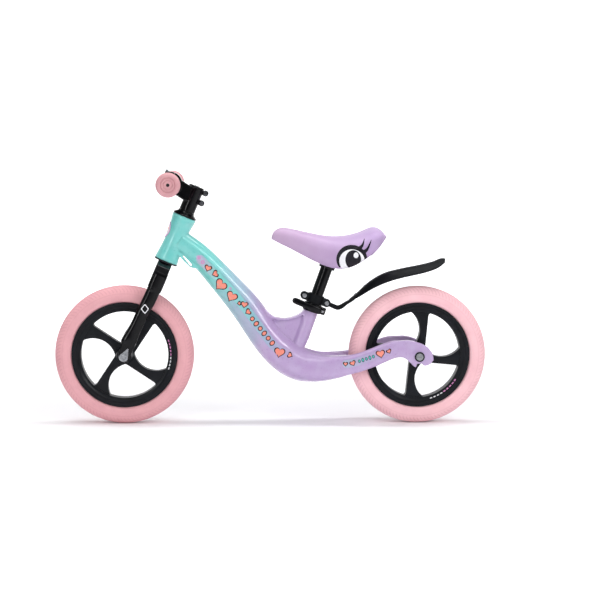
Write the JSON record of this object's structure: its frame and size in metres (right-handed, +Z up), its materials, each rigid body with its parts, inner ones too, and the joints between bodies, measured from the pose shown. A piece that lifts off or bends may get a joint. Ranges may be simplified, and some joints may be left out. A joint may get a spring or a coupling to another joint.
{
  "type": "balance bike",
  "caption": "Children's pedal-free balance bike with a swept one-piece frame, foam-tyred spoked wheels, adjustable saddle and a rear mudguard.",
  "frame": {"origin": "on the ground midway between the wheels, in the bike's middle plane", "axes": "+Z up, -X forward, +X to the rear, -Y the bike's left side"},
  "size_m": [0.905, 0.388, 0.5317],
  "materials": {
    "frame_paint": "gloss",
    "black_paint": "gloss",
    "black_alloy": "satin",
    "steel": "satin",
    "rim_black": "satin",
    "tyre_foam": "matte",
    "grip_rubber": "matte",
    "guard_plastic": "matte",
    "saddle_skin": "satin",
    "base_plastic": "satin"
  },
  "bodies": {
    "frame": {"frame": "frame_paint", "headset_lower_cup": "black_alloy", "lower_bearing": "steel", "upper_bearing": "steel", "seat_collar": "black_paint", "collar_skewer": "steel", "collar_nut": "steel", "rear_axle": "steel", "rear_axle_nut_left": "steel", "rear_axle_nut_right": "steel", "mudguard_bracket_left": "guard_plastic", "mudguard_bracket_right": "guard_plastic", "bracket_bolt_front": "steel", "bracket_bolt_rear": "steel"},
    "steering": {"fork": "black_paint", "crown_race": "steel", "headset_top_cover": "black_paint", "stem": "black_paint", "stem_faceplate": "black_paint", "top_cap": "black_paint", "top_cap_bolt": "steel", "star_nut": "steel", "handlebar": "black_alloy", "faceplate_bolt_1": "steel", "faceplate_bolt_2": "steel", "faceplate_bolt_3": "steel", "faceplate_bolt_4": "steel", "pinch_bolt_1": "steel", "pinch_bolt_2": "steel", "grip_left": "grip_rubber", "grip_right": "grip_rubber", "front_axle": "steel", "front_axle_plate_left": "steel", "front_axle_plate_right": "steel", "front_axle_nut_left": "steel", "front_axle_nut_right": "steel"},
    "front_wheel": {"front_rim": "rim_black", "front_tyre": "tyre_foam", "front_hub_spacer": "steel", "front_bearing_left": "steel", "front_bearing_right": "steel"},
    "rear_wheel": {"rear_rim": "rim_black", "rear_tyre": "tyre_foam", "rear_hub_spacer": "steel", "rear_bearing_left": "steel", "rear_bearing_right": "steel"},
    "seat": {"seat_post": "black_paint", "saddle_bracket": "black_paint", "saddle_base": "base_plastic", "saddle_cover": "saddle_skin", "saddle_screw_1": "steel", "saddle_screw_2": "steel", "saddle_screw_3": "steel", "saddle_screw_4": "steel"},
    "lever": {"qr_lever": "black_paint", "qr_cam_pin": "steel"},
    "mudguard": {"mudguard_arm": "guard_plastic", "mudguard_blade": "guard_plastic", "blade_screw_front": "steel", "blade_screw_rear": "steel"}
  },
  "joints": [
    {"name": "steer", "type": "hinge", "parent": "frame", "child": "steering", "pos_m": [-0.2212, 0, 0.3414], "axis": [0.3843, 0, 0.9232], "range_deg": [-80, 80]},
    {"name": "front_spin", "type": "hinge", "parent": "steering", "child": "front_wheel", "pos_m": [-0.3075, 0, 0.145], "axis": [0, 1, 0], "continuous": true},
    {"name": "rear_spin", "type": "hinge", "parent": "frame", "child": "rear_wheel", "pos_m": [0.3075, 0, 0.145], "axis": [0, 1, 0], "continuous": true},
    {"name": "seat_height", "type": "slide", "parent": "frame", "child": "seat", "axis": [0.3322, 0, 0.9432], "range_m": [-0.02, 0.055]},
    {"name": "lever_swing", "type": "hinge", "parent": "frame", "child": "lever", "pos_m": [0.10499, -0.0163, 0.23698], "axis": [0.3322, 0, 0.9432], "range_deg": [0, 150]},
    {"name": "mudguard_tilt", "type": "hinge", "parent": "frame", "child": "mudguard", "pos_m": [0.11516, 0, 0.25322], "axis": [0, -1, 0], "range_deg": [-4, 12]}
  ]
}
